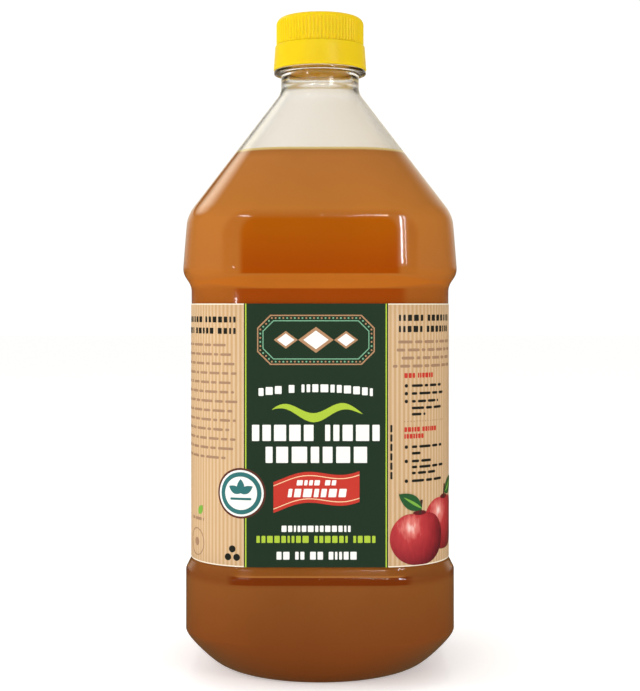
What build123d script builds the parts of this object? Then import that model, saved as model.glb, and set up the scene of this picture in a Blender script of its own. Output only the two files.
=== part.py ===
from build123d import *
import os
from math import cos, radians, sin

os.makedirs("parts", exist_ok=True)

# A two litre vinegar bottle: a blown clear body of rounded square section with a threaded
# round neck, the vinegar in it, a ribbed screw cap, its tamper band, and a wrap-round label.
# Millimetres. Z is up, the origin is the middle of the foot, and the label's front faces -Y.

# ---------------------------------------------------------------- body, widths flat to flat
foot_width = 82.8  # round standing ring
lower_band_width = 107.6
panel_width = 103.2  # recess that the label is wrapped in
upper_band_width = 110.2  # widest place, low on the upper band
upper_band_top_width = 106.6
shoulder_top_width = 35.2
panel_corner = 27.5  # corner radius of the label panel; the bands are concentric with it
wall = 0.6

# ---------------------------------------------------------------- body, heights from the foot up
heel_height = 18.2
lower_band_height = 24.2
lower_step_height = 3.8
panel_height = 108.6
upper_step_height = 5.2
upper_band_height = 23.2
shoulder_height = 51.2
heel_power = 1.48  # how straight the heel is: 1 is a quarter ellipse, 2 a chamfer
heel_squaring = 3.9  # how late the heel's section turns from round to square
lower_step_radius = 3.0  # rounding at both ends of the lower step
upper_step_radius = 7.0  # rounding at the panel's top
crown_radius = 7.0  # rounding of the upper band over its widest place
shoulder_radius = 16.0  # rounding from the upper band into the slope

# ---------------------------------------------------------------- base
push_up_width = 68.0
push_up_height = 6.0

# ---------------------------------------------------------------- neck and its thread
neck_radius = 16.3
neck_root_height = 4.0  # round from the shoulder into the neck
neck_height = 5.5
ring_radius = 19.3  # support ring
ring_thickness = 1.5
ring_edge = 0.4
finish_radius = 15.3  # the thread's root
finish_height = 20.5
bore_radius = 13.7
lip_edge = 0.5
bead_radius = 16.9  # bead that the tamper band catches under
bead_height = 1.6
bead_rise = 3.6  # from the support ring up to the bead
thread_depth = 1.0
thread_root = 1.7  # width of a ridge on its wall
thread_crest = 0.8
thread_pitch = 4.0
thread_turns = 1.25
thread_drop = 2.2  # from the lip down to the end of the neck's thread

# ---------------------------------------------------------------- cap and tamper band
cap_radius = 18.3  # over the ribs
cap_top = 1.6
cap_edge = 3.0
rib_depth = 0.35
rib_width = 0.8
rib_count = 74
band_top_radius = 18.8
band_bottom_radius = 19.45
band_wall = 1.3
band_height = 9.8
hook_thickness = 1.0
hook_radius = 16.1
bridge_count = 12
bridge_width = 0.9
bridge_set_in = 0.1  # from the band's inside

# ---------------------------------------------------------------- label and fill
label_thickness = 0.15
glue_line = 0.02  # from the panel to the label
label_height = 101.0
label_rise = 0.7  # from the foot of the panel to the label
fill_level = 209.1

# ---------------------------------------------------------------- clearances and small allowances
thread_clearance = 0.3  # crest of each thread to the other's root
band_gap = 0.25  # tamper band to the cap above it, which the bridges span
band_seat_gap = 0.2  # tamper band to the support ring under it
root_ledge = 0.06  # the neck's root over the round end of the shoulder
round_flat = 0.05  # half the flat that is left on a section that is round
thread_bury = 0.2  # how far a ridge's root runs into its wall
cut_over = 1.0  # how far a cut runs past the face it opens
heel_steps = 8  # stretches between the sections of the heel
arc_steps = 4  # stretches between the sections of a rounded part of the side

# ---------------------------------------------------------------- places that follow
lower_step_bottom = heel_height + lower_band_height
panel_bottom = lower_step_bottom + lower_step_height
panel_top = panel_bottom + panel_height
upper_band_bottom = panel_top + upper_step_height
upper_band_top = upper_band_bottom + upper_band_height
shoulder_top = upper_band_top + shoulder_height
neck_bottom = shoulder_top + neck_root_height
ring_bottom = neck_bottom + neck_height
ring_top = ring_bottom + ring_thickness
lip = ring_top + finish_height
thread_start = lip - thread_drop - thread_pitch * thread_turns
label_bottom = panel_bottom + label_rise
cap_bore_radius = finish_radius + thread_depth + thread_clearance
band_bottom = ring_top + band_seat_gap
band_top = band_bottom + band_height
cap_bottom = band_top + band_gap
cap_crown = lip + cap_top

# ---------------------------------------------------------------- side of the body
# As seen square to a flat face: straight runs joined by arcs, from the heel to the neck.
side_points = [
    (lower_band_width / 2, heel_height),
    (lower_band_width / 2, lower_step_bottom),
    (panel_width / 2, panel_bottom),
    (panel_width / 2, panel_top),
    (upper_band_width / 2, upper_band_bottom),
    (upper_band_top_width / 2, upper_band_top),
    (shoulder_top_width / 2, shoulder_top),
]
side_radii = [lower_step_radius, lower_step_radius, upper_step_radius, crown_radius, shoulder_radius]
side_profile = FilletPolyline(*side_points, radius=side_radii)
slope = (Vector(side_points[-1]) - Vector(side_points[-2])).normalized()


def side_corner(half):
    """Corner radius of the bands and the panel, which are offsets of one another."""
    return panel_corner + half - panel_width / 2


def shoulder_corner(half):
    """Corner radius up the shoulder, which turns from the band's section to a circle."""
    band_half = upper_band_top_width / 2
    top_half = shoulder_top_width / 2
    share = (band_half - half) / (band_half - top_half)
    return side_corner(band_half) * (1 - share) + top_half * share


def square_section(half, corner, height):
    """A rounded square across the body at a height."""
    with BuildSketch(Plane.XY.offset(height)) as section:
        RectangleRounded(2 * half, 2 * half, min(corner, half - round_flat))
    return section.sketch


def heel_sections(inset):
    """Sections up the heel, which opens from the round foot to the square lower band."""
    foot_half = foot_width / 2
    rise_half = lower_band_width / 2 - foot_half
    rise_corner = side_corner(lower_band_width / 2) - foot_half
    sections = []
    for step in range(heel_steps + 1):
        angle = radians(90 * step / heel_steps)
        out = sin(angle) ** heel_power
        up = 1 - cos(angle) ** heel_power
        half = foot_half + (rise_half - inset) * out
        corner = foot_half + rise_corner * out**heel_squaring - inset * out
        sections.append(square_section(half, corner, inset + (heel_height - inset) * up))
    return sections


def side_sections(edge, inset):
    """Sections along one run or arc of the side, moved in square to it by the inset."""
    steps = 1 if edge.geom_type == GeomType.LINE else arc_steps
    sections = []
    for step in range(steps + 1):
        place = edge @ (step / steps)
        run = edge % (step / steps)
        if run.Y < 0:
            run = run * -1
        on_shoulder = place.Y > upper_band_top
        corner = shoulder_corner(place.X) if on_shoulder else side_corner(place.X)
        half = place.X - inset * run.Y
        sections.append(square_section(half, corner - inset * run.Y, place.Y + inset * run.X))
    return sections


def body_stretches(inset):
    """The stretches of the body from the foot up, each a list of sections."""
    return [heel_sections(inset)] + [side_sections(edge, inset) for edge in side_profile.edges()]


# ---------------------------------------------------------------- turned and threaded parts
def neck_root(start, end):
    """The round from the shoulder's slope into the upright wall that ends it."""
    rise = (end[0] - start[0]) * slope.Y / slope.X
    return Bezier(start, (end[0], start[1] + rise), end)


def push_up(radius, height):
    """Half the profile of the dome under the base, from its rim's radius and height."""
    crown = (0, height + push_up_height)
    rim = (radius, height)
    Polyline(crown, (0, height), rim)
    TangentArc(crown, rim, tangent=(1, 0))


def thread_ridge(root_radius, outward, start):
    """The section and the path of one ridge, whose root is on a wall of the given radius."""
    path = Helix(thread_pitch, thread_pitch * thread_turns, root_radius, center=(0, 0, start))
    with BuildSketch(Plane(path @ 0, x_dir=(outward, 0, 0), z_dir=path % 0)) as ridge:
        with BuildLine():
            Polyline(
                (-thread_bury, -thread_root / 2),
                (thread_depth, -thread_crest / 2),
                (thread_depth, thread_crest / 2),
                (-thread_bury, thread_root / 2),
                close=True,
            )
        make_face()
    return ridge.sketch, path


# ---------------------------------------------------------------- the space inside the bottle
with BuildPart() as cavity:
    for stretch in body_stretches(wall):
        loft(sections=stretch, ruled=len(stretch) == 2, clean=False)
    with BuildSketch(Plane.XZ):
        root_height = shoulder_top + wall * slope.X
        root_start = (shoulder_top_width / 2 - wall * slope.Y + root_ledge, root_height)
        root_end = (bore_radius, neck_bottom)
        with BuildLine():
            neck_root(root_start, root_end)
            Polyline(
                root_end,
                (bore_radius, lip + cut_over),
                (0, lip + cut_over),
                (0, root_height),
                root_start,
            )
        make_face()
    revolve(axis=Axis.Z)
    with BuildSketch(Plane.XZ):
        with BuildLine():
            push_up(push_up_width / 2 + wall, wall)
        make_face()
    revolve(axis=Axis.Z, mode=Mode.SUBTRACT)

# ---------------------------------------------------------------- bottle
with BuildPart() as bottle:
    for stretch in body_stretches(0):
        loft(sections=stretch, ruled=len(stretch) == 2, clean=False)
    with BuildSketch(Plane.XZ):
        root_start = (shoulder_top_width / 2 + root_ledge, shoulder_top)
        root_end = (neck_radius, neck_bottom)
        bead_bottom = ring_top + bead_rise
        with BuildLine():
            neck_root(root_start, root_end)
            Polyline(
                root_end,
                (neck_radius, ring_bottom),
                (ring_radius - ring_edge, ring_bottom),
                (ring_radius, ring_bottom + ring_edge),
                (ring_radius, ring_top - ring_edge),
                (ring_radius - ring_edge, ring_top),
                (finish_radius, ring_top),
                (finish_radius, bead_bottom),
                (bead_radius, bead_bottom),
                (finish_radius, bead_bottom + bead_height),
                (finish_radius, lip - lip_edge),
                (finish_radius - lip_edge, lip),
                (0, lip),
                (0, shoulder_top),
                root_start,
            )
        make_face()
    revolve(axis=Axis.Z)
    ridge, path = thread_ridge(finish_radius, 1, thread_start)
    sweep(sections=ridge, path=path, is_frenet=True)
    with BuildSketch(Plane.XZ):
        with BuildLine():
            push_up(push_up_width / 2, 0)
        make_face()
    revolve(axis=Axis.Z, mode=Mode.SUBTRACT)
    add(cavity.part, mode=Mode.SUBTRACT)
bottle.part.label = "bottle"
export_step(bottle.part, "parts/bottle.step")

# ---------------------------------------------------------------- vinegar, up to its level
with BuildPart() as vinegar:
    add(cavity.part)
    split(bisect_by=Plane.XY.offset(fill_level), keep=Keep.BOTTOM)
vinegar.part.label = "vinegar"
export_step(vinegar.part, "parts/vinegar.step")

# ---------------------------------------------------------------- label, wrapped round the panel
with BuildPart() as label:
    label_inside = panel_width / 2 + glue_line
    label_outside = label_inside + label_thickness
    add(square_section(label_outside, side_corner(label_outside), label_bottom))
    extrude(amount=label_height)
    add(square_section(label_inside, side_corner(label_inside), label_bottom))
    extrude(amount=label_height, mode=Mode.SUBTRACT)
label.part.label = "label"
export_step(label.part, "parts/label.step")

# ---------------------------------------------------------------- cap
rib_root = cap_radius - rib_depth
with BuildPart() as cap:
    with BuildSketch(Plane.XY.offset(cap_bottom)):
        Circle(rib_root)
        with PolarLocations(rib_root, rib_count):
            Rectangle(2 * rib_depth, rib_width)
    extrude(amount=cap_crown - cap_bottom)
    # A turned blank rounds the ends of the ribs and the top over into one edge.
    with BuildSketch(Plane.XZ):
        edge_start = (cap_radius - cap_edge, cap_crown)
        edge_end = (cap_radius, cap_crown - cap_edge)
        with BuildLine():
            Polyline(edge_end, (cap_radius, cap_bottom), (0, cap_bottom), (0, cap_crown), edge_start)
            RadiusArc(edge_start, edge_end, cap_edge)
        make_face()
    revolve(axis=Axis.Z, mode=Mode.INTERSECT)
    with BuildSketch(Plane.XY.offset(cap_bottom)):
        Circle(cap_bore_radius)
    extrude(amount=lip - cap_bottom, mode=Mode.SUBTRACT)
    # Its thread lies half a pitch under the neck's.
    ridge, path = thread_ridge(cap_bore_radius, -1, thread_start - thread_pitch / 2)
    sweep(sections=ridge, path=path, is_frenet=True)
cap.part.label = "cap"
export_step(cap.part, "parts/cap.step")

# ---------------------------------------------------------------- tamper band, hooked under the bead
hook_top = band_bottom + hook_thickness
with BuildPart() as tamper_band:
    with BuildSketch(Plane.XZ):
        with BuildLine():
            Polyline(
                (band_bottom_radius, band_bottom),
                (band_top_radius, band_top),
                (band_top_radius - band_wall, band_top),
                (band_bottom_radius - band_wall, hook_top),
                (hook_radius, hook_top),
                (hook_radius, band_bottom),
                close=True,
            )
        make_face()
    revolve(axis=Axis.Z)
    # The bridges stand on the band's top and reach the underside of the cap's wall.
    bridge_inside = band_top_radius - band_wall + bridge_set_in
    bridge_depth = rib_root - bridge_inside
    with BuildSketch(Plane.XY.offset(band_top)):
        with PolarLocations(bridge_inside + bridge_depth / 2, bridge_count):
            Rectangle(bridge_depth, bridge_width)
    extrude(amount=band_gap)
tamper_band.part.label = "tamper_band"
export_step(tamper_band.part, "parts/tamper_band.step")
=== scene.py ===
from math import ceil, cos, hypot, pi, radians, sin, sqrt, tau

import bmesh
import bpy
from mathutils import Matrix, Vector
from mathutils.geometry import tessellate_polygon


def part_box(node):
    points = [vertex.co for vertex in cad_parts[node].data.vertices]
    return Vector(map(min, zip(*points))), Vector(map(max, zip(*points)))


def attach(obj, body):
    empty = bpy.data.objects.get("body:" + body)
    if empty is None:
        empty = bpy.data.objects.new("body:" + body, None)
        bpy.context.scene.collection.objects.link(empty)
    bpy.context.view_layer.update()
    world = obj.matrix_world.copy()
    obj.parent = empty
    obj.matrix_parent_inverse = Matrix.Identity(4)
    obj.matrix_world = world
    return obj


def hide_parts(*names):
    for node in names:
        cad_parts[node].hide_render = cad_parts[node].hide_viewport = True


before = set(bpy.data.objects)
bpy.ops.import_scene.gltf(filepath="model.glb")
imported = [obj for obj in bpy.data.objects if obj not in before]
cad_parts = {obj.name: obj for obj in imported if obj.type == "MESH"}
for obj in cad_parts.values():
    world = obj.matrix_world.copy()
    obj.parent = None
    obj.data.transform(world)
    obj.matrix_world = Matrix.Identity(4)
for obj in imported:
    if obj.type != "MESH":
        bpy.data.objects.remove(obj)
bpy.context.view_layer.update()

# A two litre vinegar bottle: clear blown body, cloudy amber fill, wrap-round printed label,
# ribbed screw cap and tamper band. Sizes are in millimetres and turned to metres by MM.
MM = 0.001

# ---------------------------------------------------------------- places read from the frame


def node_mm(name):
    """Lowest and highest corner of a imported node, in millimetres."""
    low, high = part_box(name)
    return [v / MM for v in low], [v / MM for v in high]


bottle_low, bottle_high = node_mm("bottle")
cap_low, cap_high = node_mm("cap")
band_low, band_high = node_mm("tamper_band")
label_low, label_high = node_mm("label")
fill_low, fill_high = node_mm("vinegar")
lip = bottle_high[2]
cap_crown = cap_high[2]
cap_bottom = cap_low[2]
fill_level = fill_high[2]
label_bottom = label_low[2]
label_top = label_high[2]
label_half = label_high[0]

# ---------------------------------------------------------------- body
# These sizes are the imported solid's, apart from neck_bore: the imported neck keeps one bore, and here
# its wall is thinner under the support ring, as it is blown.
foot_half = 41.4
lower_half = 53.8
panel_half = 51.6
upper_half = 55.1
upper_top_half = 53.3
neck_foot_half = 17.6
panel_corner = 27.5
wall = 0.6
heel_height = 18.2
lower_step_bottom = 42.4
panel_bottom = 46.2
panel_top = 154.8
upper_band_bottom = 160.0
upper_band_top = 183.2
shoulder_top = 234.4
neck_bottom = 238.4
heel_power = 1.48
heel_squaring = 3.9
side_radii = [3.0, 3.0, 7.0, 7.0, 16.0]
push_up_radius = 34.0
push_up_height = 6.0
neck_radius = 16.3
bore_radius = 13.7
neck_bore = 15.2
ring_bottom = 243.9
ring_top = 245.4
ring_radius = 19.3
finish_radius = 15.3
bead_radius = 16.9
bead_bottom = 249.0
bead_top = 250.6
round_flat = 0.05
AROUND = 320  # points round a section
SEAM_HEIGHT = 0.09  # parting line of the mould, down the middle of the front and the back
SEAM_REACH = 0.0011  # half its width, as a share of the way round


def even_shares(count):
    return [i / count for i in range(count)]


# A section of the body has extra points at the two parting lines.
seam_steps = [SEAM_REACH * k / 2 for k in (-2, -1, 1, 2)]
body_shares = sorted(even_shares(AROUND) + [(at + step) % 1.0 for at in (0.0, 0.5) for step in seam_steps])

# ---------------------------------------------------------------- small mesh helpers


def new_object(name, verts, faces, material, smooth=True):
    """A mesh object from millimetre points; each caller then sets it on the one body."""
    mesh = bpy.data.meshes.new(name)
    mesh.from_pydata([(x * MM, y * MM, z * MM) for x, y, z in verts], [], faces)
    mesh.validate()
    mesh.materials.append(material)
    for polygon in mesh.polygons:
        polygon.use_smooth = smooth
    piece = bpy.data.objects.new(name, mesh)
    bpy.context.scene.collection.objects.link(piece)
    return piece


def bridge_rings(rings, closed=True, cap_ends=True):
    """Vertices and faces of a skin over rings that have the same number of points."""
    verts = [point for ring in rings for point in ring]
    count = len(rings[0])
    last = count if closed else count - 1
    faces = []
    for row in range(len(rings) - 1):
        base = row * count
        for i in range(last):
            j = (i + 1) % count
            faces.append((base + i, base + j, base + count + j, base + count + i))
    if cap_ends:
        for row, turned in ((0, True), (len(rings) - 1, False)):
            base = row * count
            centre = [sum(p[k] for p in rings[row]) / count for k in range(3)]
            verts.append(tuple(centre))
            hub = len(verts) - 1
            for i in range(count):
                j = (i + 1) % count
                pair = (base + j, base + i) if turned else (base + i, base + j)
                faces.append((hub, pair[0], pair[1]))
    return verts, faces


def circle_ring(radius, height, shares=body_shares):
    """Points of a circle round Z, starting at the front."""
    return [(radius * sin(tau * share), -radius * cos(tau * share), height) for share in shares]


def square_point(half, corner, share):
    """A point of a rounded square at a share of the way round, 0 at the middle of the front."""
    flat = half - corner
    eighth = flat + corner * pi / 4
    way = (share % 1.0) * 8 * eighth
    side = int((way + eighth) // (2 * eighth)) % 4
    along = way - side * 2 * eighth
    if along > 6 * eighth:
        along -= 8 * eighth
    turn = 1 if along >= 0 else -1
    reach = abs(along)
    if reach <= flat:
        x, y = reach, -half
    else:
        angle = (reach - flat) / corner
        x, y = flat + corner * sin(angle), -(flat + corner * cos(angle))
    x *= turn
    for _ in range(side):
        x, y = -y, x
    return x, y


def square_ring(half, corner, height, shares=body_shares, seam=0.0):
    """Points of a rounded square section, with its parting lines standing out by the seam."""
    corner = min(corner, half - round_flat)
    ring = []
    for share in shares:
        x, y = square_point(half, corner, share)
        aside = min(share, abs(share - 0.5), 1 - share) / SEAM_REACH
        if aside < 1:
            y += seam * (1 - aside**2) * (1 if y > 0 else -1)
        ring.append((x, y, height))
    return ring


# ---------------------------------------------------------------- side of the body


def side_corner(half):
    return panel_corner + half - panel_half


def shoulder_corner(half):
    share = (upper_top_half - half) / (upper_top_half - neck_foot_half)
    return side_corner(upper_top_half) * (1 - share) + neck_foot_half * share


def rounded_side():
    """Stations up the side: half width, height, and the outward normal."""
    points = [
        (lower_half, heel_height),
        (lower_half, lower_step_bottom),
        (panel_half, panel_bottom),
        (panel_half, panel_top),
        (upper_half, upper_band_bottom),
        (upper_top_half, upper_band_top),
        (neck_foot_half, shoulder_top),
    ]
    stations = []
    start = Vector(points[0])
    for i, radius in enumerate(side_radii):
        before, at, after = (Vector(points[i + k]) for k in range(3))
        into = (at - before).normalized()
        out = (after - at).normalized()
        turn = into.angle(out)
        reach = radius * abs(sin(turn / 2) / cos(turn / 2))
        arc_start = at - into * reach
        stations += straight_run(start, arc_start)
        side = 1 if into.cross(out) > 0 else -1
        steps = max(4, ceil(turn / radians(5)))
        left = Vector((-into.y, into.x)) * side
        middle = arc_start + left * radius
        for step in range(1, steps):
            angle = turn * step / steps
            spoke = -left * cos(angle) + into * sin(angle)
            tangent = into * cos(angle) + left * sin(angle)
            place = middle + spoke * radius
            stations.append((place.x, place.y, tangent.y, -tangent.x))
        start = at + out * reach
    stations += straight_run(start, Vector(points[-1]))
    end = Vector(points[-1])
    run = (end - start).normalized()
    stations.append((end.x, end.y, run.y, -run.x))
    return stations


def straight_run(start, end):
    """Stations from the start of a straight run up to, and without, its end."""
    run = (end - start).normalized()
    steps = max(1, ceil((end - start).length / 4.0))
    stations = []
    for step in range(steps):
        place = start.lerp(end, step / steps)
        stations.append((place.x, place.y, run.y, -run.x))
    return stations


def body_rings(inset):
    """Rings from the heel to the foot of the neck, moved in square to the wall by the inset."""
    rings = []
    seam = SEAM_HEIGHT if inset == 0 else 0.0
    rise_half = lower_half - foot_half
    rise_corner = side_corner(lower_half) - foot_half
    heel_steps = 18
    for step in range(heel_steps):
        angle = radians(90 * step / heel_steps)
        out = sin(angle) ** heel_power
        up = 1 - cos(angle) ** heel_power
        half = foot_half + (rise_half - inset) * out
        corner = foot_half + rise_corner * out**heel_squaring - inset * out
        rings.append(square_ring(half, corner, inset + (heel_height - inset) * up, seam=seam * out))
    for half, height, normal_x, normal_z in rounded_side():
        on_shoulder = height > upper_band_top
        corner = shoulder_corner(half) if on_shoulder else side_corner(half)
        moved = half - inset * normal_x
        line = 0.0 if on_shoulder else seam
        rings.append(square_ring(moved, corner - inset * normal_x, height - inset * normal_z, seam=line))
    return rings


def push_up_rings(radius, height):
    """Rings of the dome under the base, from its middle out to its rim."""
    rings = []
    sphere = (radius**2 + push_up_height**2) / (2 * push_up_height)
    steps = 14
    for step in range(1, steps + 1):
        out = radius * step / steps
        rise = sqrt(sphere**2 - out**2) - (sphere - push_up_height)
        ease = rise / push_up_height
        rings.append(circle_ring(out, height + push_up_height * ease**1.15))
    return rings


def lathe_rings(profile, shares=body_shares):
    return [circle_ring(radius, height, shares) for radius, height in profile]


def neck_root_profile(start, end, steps=6):
    """The round from the shoulder's slope into the upright neck."""
    rise_rate = (shoulder_top - upper_band_top) / (upper_top_half - neck_foot_half)
    corner = (end[0], start[1] + (start[0] - end[0]) * rise_rate)
    profile = []
    for step in range(1, steps + 1):
        t = step / steps
        a, b, c = (1 - t) ** 2, 2 * t * (1 - t), t**2
        profile.append(tuple(a * start[k] + b * corner[k] + c * end[k] for k in range(2)))
    return profile


def arc_profile(centre, radius, start, end, steps):
    """Points of an arc in the profile plane, angles in degrees from outward."""
    points = []
    for step in range(steps + 1):
        angle = radians(start + (end - start) * step / steps)
        points.append((centre[0] + radius * cos(angle), centre[1] + radius * sin(angle)))
    return points


# ---------------------------------------------------------------- materials


def tone(red, green, blue):
    """A screen colour, 0 to 255, as the linear values that a shader takes."""
    linear = []
    for value in (red, green, blue):
        value /= 255
        linear.append(value / 12.92 if value <= 0.04045 else ((value + 0.055) / 1.055) ** 2.4)
    return (*linear, 1.0)


def link(tree, source, target):
    tree.links.new(source, target)


def math_node(tree, operation, first, second=None, third=None, clamp=False):
    """A Math node whose inputs are sockets or numbers; gives its output socket."""
    node = tree.nodes.new("ShaderNodeMath")
    node.operation = operation
    node.use_clamp = clamp
    for place, value in enumerate((first, second, third)):
        if value is None:
            continue
        if isinstance(value, (int, float)):
            node.inputs[place].default_value = value
        else:
            link(tree, value, node.inputs[place])
    return node.outputs[0]


def soft_step(tree, value, start, end):
    """0 before start and 1 after end, smooth between them."""
    node = tree.nodes.new("ShaderNodeMapRange")
    node.interpolation_type = "SMOOTHSTEP"
    node.inputs["From Min"].default_value = start
    node.inputs["From Max"].default_value = end
    link(tree, value, node.inputs["Value"])
    return node.outputs["Result"]


def mix_colour(tree, factor, first, second, blend="MIX"):
    node = tree.nodes.new("ShaderNodeMix")
    node.data_type = "RGBA"
    node.blend_type = blend
    for socket, value in ((node.inputs[0], factor), (node.inputs[6], first), (node.inputs[7], second)):
        if isinstance(value, (int, float, tuple)):
            socket.default_value = value
        else:
            link(tree, value, socket)
    return node.outputs[2]


def surface_grain_group():
    """Small uneven colour, gloss and height that every moulded or printed finish has."""
    group = bpy.data.node_groups.new("surface_grain", "ShaderNodeTree")
    sockets = (
        ("Color", "NodeSocketColor"),
        ("Scale", "NodeSocketFloat"),
        ("Variation", "NodeSocketFloat"),
        ("Roughness", "NodeSocketFloat"),
        ("Roughness Spread", "NodeSocketFloat"),
    )
    for name, kind in sockets:
        group.interface.new_socket(name=name, in_out="INPUT", socket_type=kind)
    group.interface.new_socket(name="Color", in_out="OUTPUT", socket_type="NodeSocketColor")
    for name in ("Roughness", "Height"):
        group.interface.new_socket(name=name, in_out="OUTPUT", socket_type="NodeSocketFloat")
    given = group.nodes.new("NodeGroupInput")
    result = group.nodes.new("NodeGroupOutput")
    place = group.nodes.new("ShaderNodeTexCoord")
    fine = group.nodes.new("ShaderNodeTexNoise")
    fine.inputs["Detail"].default_value = 5.0
    link(group, place.outputs["Object"], fine.inputs["Vector"])
    link(group, given.outputs["Scale"], fine.inputs["Scale"])
    broad = group.nodes.new("ShaderNodeTexNoise")
    broad.inputs["Scale"].default_value = 18.0
    broad.inputs["Detail"].default_value = 2.0
    link(group, place.outputs["Object"], broad.inputs["Vector"])
    both = math_node(group, "ADD", fine.outputs["Fac"], broad.outputs["Fac"])
    centred = math_node(group, "SUBTRACT", both, 1.0)
    swing = math_node(group, "MULTIPLY", centred, given.outputs["Variation"])
    gain = math_node(group, "ADD", swing, 1.0)
    toned = group.nodes.new("ShaderNodeVectorMath")
    toned.operation = "SCALE"
    link(group, given.outputs["Color"], toned.inputs[0])
    link(group, gain, toned.inputs["Scale"])
    link(group, toned.outputs["Vector"], result.inputs["Color"])
    spread = math_node(group, "MULTIPLY", centred, given.outputs["Roughness Spread"])
    uneven = math_node(group, "ADD", given.outputs["Roughness"], spread, clamp=True)
    link(group, uneven, result.inputs["Roughness"])
    link(group, fine.outputs["Fac"], result.inputs["Height"])
    return group


surface_grain = surface_grain_group()


def new_material(name):
    material = bpy.data.materials.new(name)
    material.use_nodes = True
    tree = material.node_tree
    return material, tree, tree.nodes["Principled BSDF"]


def finish(name, colour, roughness, variation, scale, spread=0.1, bump=0.05, depth=0.0002, **plain):
    """A plastic or printed finish; colour may be a tuple or a function that builds a socket."""
    material, tree, shader = new_material(name)
    grain = tree.nodes.new("ShaderNodeGroup")
    grain.node_tree = surface_grain
    grain.inputs["Scale"].default_value = scale
    grain.inputs["Variation"].default_value = variation
    grain.inputs["Roughness"].default_value = roughness
    grain.inputs["Roughness Spread"].default_value = spread
    if callable(colour):
        link(tree, colour(tree), grain.inputs["Color"])
    else:
        grain.inputs["Color"].default_value = colour
    link(tree, grain.outputs["Color"], shader.inputs["Base Color"])
    link(tree, grain.outputs["Roughness"], shader.inputs["Roughness"])
    relief = tree.nodes.new("ShaderNodeBump")
    relief.inputs["Strength"].default_value = bump
    relief.inputs["Distance"].default_value = depth
    link(tree, grain.outputs["Height"], relief.inputs["Height"])
    link(tree, relief.outputs["Normal"], shader.inputs["Normal"])
    for socket, value in plain.items():
        shader.inputs[socket.replace("_", " ")].default_value = value
    return material


def clear_plastic_material():
    """Blown clear plastic: a little uneven, and it lets lamps through to what is inside."""
    material, tree, shader = new_material("clear_plastic")
    shader.inputs["Base Color"].default_value = (0.985, 0.977, 0.96, 1.0)
    shader.inputs["IOR"].default_value = 1.5
    shader.inputs["Transmission Weight"].default_value = 1.0
    place = tree.nodes.new("ShaderNodeTexCoord")
    swell = tree.nodes.new("ShaderNodeTexNoise")
    swell.inputs["Scale"].default_value = 28.0
    swell.inputs["Detail"].default_value = 1.0
    link(tree, place.outputs["Object"], swell.inputs["Vector"])
    haze = tree.nodes.new("ShaderNodeTexNoise")
    haze.inputs["Scale"].default_value = 90.0
    haze.inputs["Detail"].default_value = 4.0
    link(tree, place.outputs["Object"], haze.inputs["Vector"])
    link(tree, math_node(tree, "MULTIPLY_ADD", haze.outputs["Fac"], 0.08, 0.09), shader.inputs["Roughness"])
    shader.inputs["Coat Weight"].default_value = 0.5
    shader.inputs["Coat Roughness"].default_value = 0.03
    relief = tree.nodes.new("ShaderNodeBump")
    relief.inputs["Strength"].default_value = 0.25
    relief.inputs["Distance"].default_value = 0.0012
    link(tree, swell.outputs["Fac"], relief.inputs["Height"])
    link(tree, relief.outputs["Normal"], shader.inputs["Normal"])
    rays = tree.nodes.new("ShaderNodeLightPath")
    see_through = tree.nodes.new("ShaderNodeBsdfTransparent")
    see_through.inputs["Color"].default_value = (0.97, 0.965, 0.95, 1.0)
    choose = tree.nodes.new("ShaderNodeMixShader")
    passes = math_node(tree, "MAXIMUM", rays.outputs["Is Shadow Ray"], rays.outputs["Is Diffuse Ray"])
    link(tree, passes, choose.inputs[0])
    link(tree, shader.outputs[0], choose.inputs[1])
    link(tree, see_through.outputs[0], choose.inputs[2])
    link(tree, choose.outputs[0], tree.nodes["Material Output"].inputs["Surface"])
    return material


def window_mask(tree, off_middle, height, half_width, bottom, top, corner):
    """1 behind the flat part of each face between two heights, with its upper corners rounded."""
    beside = math_node(tree, "SUBTRACT", off_middle, (half_width - corner) * MM)
    above = math_node(tree, "SUBTRACT", height, (top - corner) * MM)
    beside = math_node(tree, "MAXIMUM", beside, 0.0)
    above = math_node(tree, "MAXIMUM", above, 0.0)
    square = math_node(tree, "MULTIPLY", beside, beside)
    reach = math_node(tree, "SQRT", math_node(tree, "MULTIPLY_ADD", above, above, square))
    outside = soft_step(tree, reach, (corner - 1.6) * MM, (corner + 1.1) * MM)
    inside = math_node(tree, "SUBTRACT", 1.0, outside)
    over = soft_step(tree, height, (bottom - 0.15) * MM, (bottom + 0.25) * MM)
    return math_node(tree, "MULTIPLY", inside, over)


def strip_mask(tree, off_middle, height, half_width, bottom, top):
    """1 along a level strip of each face, which fades out toward the corners."""
    past = soft_step(tree, off_middle, (half_width - 2.5) * MM, (half_width + 1.5) * MM)
    along = math_node(tree, "SUBTRACT", 1.0, past)
    over = soft_step(tree, height, (bottom - 0.2) * MM, (bottom + 0.2) * MM)
    above = soft_step(tree, height, (top - 0.3) * MM, (top + 0.3) * MM)
    under = math_node(tree, "SUBTRACT", 1.0, above)
    return math_node(tree, "MULTIPLY", along, math_node(tree, "MULTIPLY", over, under))


def lens_light_mask(tree, off_middle, height):
    """1 on the step over the panel, which thins to a point at each corner of the body; painted light is laid on
    that step.
    """
    half_length = 46.0 * MM
    half_height = 2.7 * MM
    middle_height = 156.4 * MM
    thinning = math_node(tree, "POWER", math_node(tree, "DIVIDE", off_middle, half_length), 3.0)
    reach = math_node(tree, "MULTIPLY_ADD", thinning, -half_height, half_height)
    off_level = math_node(tree, "ABSOLUTE", math_node(tree, "SUBTRACT", height, middle_height))
    outside = soft_step(tree, math_node(tree, "SUBTRACT", off_level, reach), -0.3 * MM, 0.4 * MM)
    return math_node(tree, "SUBTRACT", 1.0, outside)


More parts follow.
